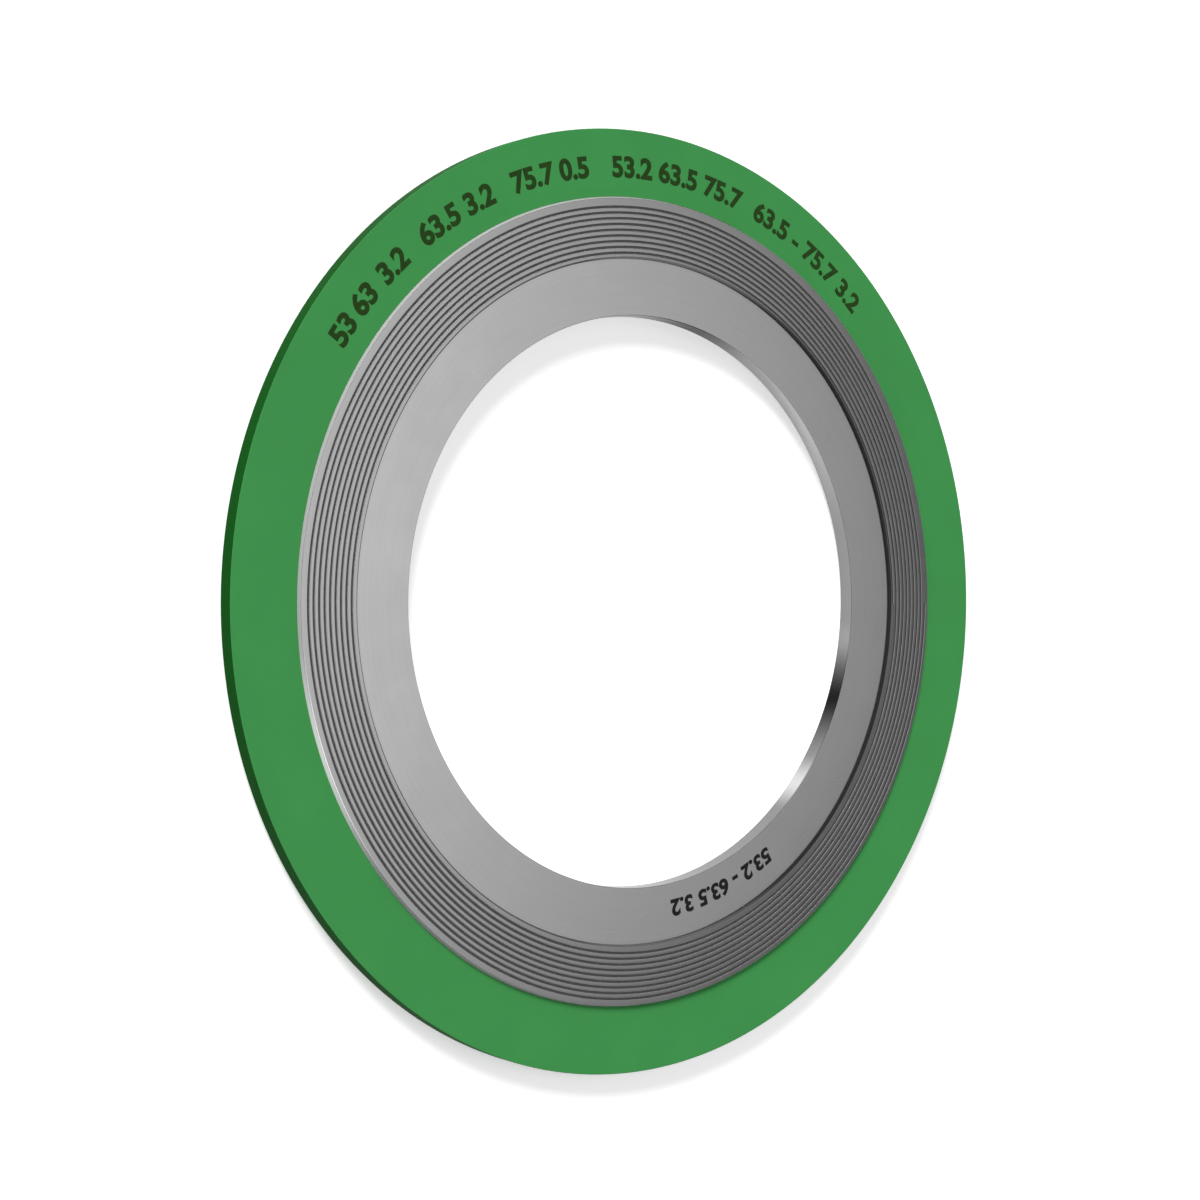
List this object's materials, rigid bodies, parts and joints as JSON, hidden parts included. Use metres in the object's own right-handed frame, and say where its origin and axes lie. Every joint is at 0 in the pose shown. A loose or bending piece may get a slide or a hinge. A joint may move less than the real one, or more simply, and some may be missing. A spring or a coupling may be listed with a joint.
{
  "type": "spiral wound gasket",
  "caption": "Flat ring gasket: a wound band of V-shaped metal strip and soft filler held between an outer centring ring and an inner ring.",
  "frame": {"origin": "centre of the gasket in the plane of its lower sealing face", "axes": "+Z along the gasket's axis, from the lower sealing face to the upper one; +X towards the place where the filler's turns start and end"},
  "size_m": [0.1748, 0.1748, 0.0045],
  "materials": {
    "green_paint": "satin green paint, dark on the rim",
    "wound_strip": "edges of bright strip and dark graphite in turn",
    "ring_steel": "plain ground steel"
  },
  "bodies": {
    "root": {"centring_ring": "green_paint", "winding": "wound_strip", "inner_ring": "ring_steel"}
  },
  "joints": []
}
